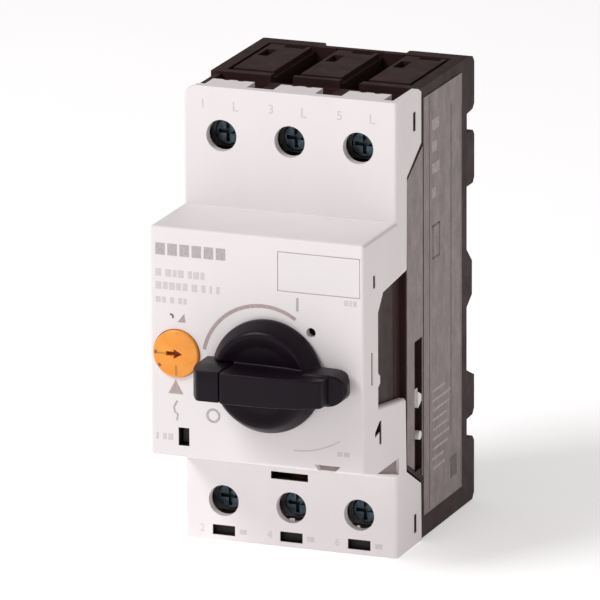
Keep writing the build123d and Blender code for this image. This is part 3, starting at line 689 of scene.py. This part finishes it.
def terminal_marks():
    """A number and a small sign beside every terminal screw."""
    for i, x in enumerate(POLES):
        digit("line_number_%d" % (i + 1), str(2 * i + 1), x - 3.9, LINE_Z + 6.2, 2.6, TERMINAL_Y)
        face_mark("line_sign_%d" % (i + 1), stroke([(x + 2.6, LINE_Z + 7.1), (x + 2.6, LINE_Z + 5.3),
                  (x + 3.6, LINE_Z + 5.3)], 0.3), INK_FAINT, TERMINAL_Y)
        digit("load_number_%d" % (i + 1), str(2 * i + 2), x - 4.6, LOAD_Z - 6.1, 2.2, TERMINAL_Y)
        face_mark("load_sign_%d" % (i + 1), bar(x + 3.4, x + 4.9, LOAD_Z - 6.6, LOAD_Z - 5.6), INK_FAINT,
                  TERMINAL_Y)


def dial_marks():
    """Scale strokes round the dial's rim, and painted shade on the arrow's sunk floor."""
    front = DIAL_LOW[1]
    for i, angle in enumerate((178, 216)):
        a = radians(angle)
        inner = (DIAL_X + DIAL_TICK_START * cos(a), DIAL_Z + DIAL_TICK_START * sin(a))
        outer = (DIAL_X + DIAL_RIM * cos(a), DIAL_Z + DIAL_RIM * sin(a))
        face_mark("dial_tick_%d" % i, stroke([inner, outer], 0.7), INK_SCALE, front, "dial")
    face_mark("dial_stroke", bar(DIAL_X - 0.1, DIAL_X + 0.35, DIAL_Z - 4.4, DIAL_Z - 2.3), INK_AMBER,
              front, "dial")
    face_mark("dial_line", bar(DIAL_X - 3.9, DIAL_X - 2.1, DIAL_Z - 0.2, DIAL_Z + 0.15), INK_AMBER,
              front, "dial")
    # Painted shade: a dark sheet on the sunk arrow's floor.
    floor = FACE_Y + DIAL_ARROW_SINK - INK
    arrow = [
        (-1.95, -0.4), (-0.45, -0.4), (-0.45, -0.9), (1.4, 0.0), (-0.45, 0.9), (-0.45, 0.4), (-1.95, 0.4),
    ]
    placed = [(DIAL_X + x, DIAL_Z + z) for x, z in arrow]
    face_mark("dial_arrow", placed, DIAL_ARROW_SHADE, floor, "dial")


def side_drawing(side):
    """Simple lines and frames printed on the grey side field."""
    back = PLATE_HIGH[1]
    front = back - 21.7
    top = 43.8
    low = -42.0
    chance = random.Random(40 + side)
    tag = "right" if side > 0 else "left"
    uprights = [(front + 3.0, low, top), (back - 6.4, -30.0, top - 4.0), (back - 0.6, low, top - 6)]
    for i, (y, z0, z1) in enumerate(uprights):
        side_mark("%s_line_%d" % (tag, i), bar(y, y + 0.35, z0 + 0.5, z1 - 0.5), INK_DARK, side)
    rungs = [(36.0, 5.5), (31.5, 4.0), (27.0, 6.0), (22.0, 3.0)]
    for i, (z, length) in enumerate(rungs):
        y = front + 4.6
        side_mark("%s_figure_%d" % (tag, i), bar(y, y + length * 0.7, z, z + 2.2), INK_PRINT, side)
    for i in range(9):
        z = -18.0 - 2.0 * i
        y = front + 4.4 + chance.uniform(0, 0.8)
        side_mark("%s_note_%d" % (tag, i), bar(y, y + chance.uniform(6, 11), z, z + 0.6), INK_PRINT, side)
    side_mark("%s_square" % tag, bar(back - 6.6, back - 3.0, -38.5, -34.0), INK_DARK, side)
    y0 = front + 5.0
    y1 = front + 9.0
    z0 = 9.5
    z1 = 16.5
    line = 0.4
    edges = [
        bar(y0, y1, z0, z0 + line), bar(y0, y1, z1 - line, z1),
        bar(y0, y0 + line, z0, z1), bar(y1 - line, y1, z0, z1),
    ]
    for i, edge in enumerate(edges):
        side_mark("%s_frame_%d" % (tag, i), edge, INK_DARK, side)


# ---- studio ----

def studio():
    """A pale floor, an even sky and three soft lamps."""
    floor_mesh = bpy.data.meshes.new("floor")
    far = 3.0
    floor_mesh.from_pydata(
        [(-far, -far, 0), (far, -far, 0), (far, far, 0), (-far, far, 0)], [], [(0, 1, 2, 3)])
    floor = new_object("floor", floor_mesh, floor_material())
    floor.location.z = FLOOR_Z * MM - 0.0002
    world = bpy.data.worlds.new("studio")
    bpy.context.scene.world = world
    world.use_nodes = True
    sky = world.node_tree.nodes["Background"]
    sky.inputs["Color"].default_value = (1.0, 0.95, 0.955, 1.0)
    sky.inputs["Strength"].default_value = 0.36
    soft_light("key", (-0.52, -0.62, 0.80), 0.42, 7.3, (1.0, 1.0, 1.0))
    soft_light("front_fill", (0.05, -1.1, 0.12), 0.7, 0.8, (1.0, 0.98, 0.99))
    soft_light("right_fill", (0.9, -0.25, 0.25), 0.6, 0.5, (1.0, 0.60, 0.56))


def soft_light(name, place, size, power, colour):
    """A square lamp aimed at the middle of the object; place and size are in metres."""
    data = bpy.data.lights.new(name, "AREA")
    data.size = size
    data.energy = power
    data.color = colour
    lamp = bpy.data.objects.new(name, data)
    lamp.location = place
    aim = Vector((0.0, -0.03, 0.0)) - Vector(place)
    lamp.rotation_euler = aim.to_track_quat("-Z", "Y").to_euler()
    bpy.context.scene.collection.objects.link(lamp)


def camera():
    """A long lens from the right, a little above the object."""
    azimuth = radians(21.209)
    elevation = radians(15.527)
    roll = radians(-0.249)
    distance = 1926.997
    aim = Vector((0.0, -31.7, 0.0))
    forward = Vector((-sin(azimuth) * cos(elevation), cos(azimuth) * cos(elevation), -sin(elevation)))
    level = forward.cross(Vector((0, 0, 1))).normalized()
    upright = level.cross(forward).normalized()
    right = level * cos(roll) + upright * sin(roll)
    up = upright * cos(roll) - level * sin(roll)
    place = aim + right * -1.342 + up * 2.083 - forward * distance
    data = bpy.data.cameras.new("camera")
    data.sensor_width = 36.0
    data.lens = 583.37
    data.clip_start = 0.1
    data.clip_end = 20.0
    made = bpy.data.objects.new("camera", data)
    turn = Matrix((right, up, -forward)).transposed().to_4x4()
    made.matrix_world = Matrix.Translation(place * MM) @ turn
    bpy.context.scene.collection.objects.link(made)
    bpy.context.scene.camera = made


camera()
studio()
dress_cad()
build_handle()
build_padlock_slide()
face_marks()
terminal_marks()
shade_sheets()
dial_marks()
side_drawing(1)
side_drawing(-1)
bpy.context.scene.view_settings.view_transform = "Standard"
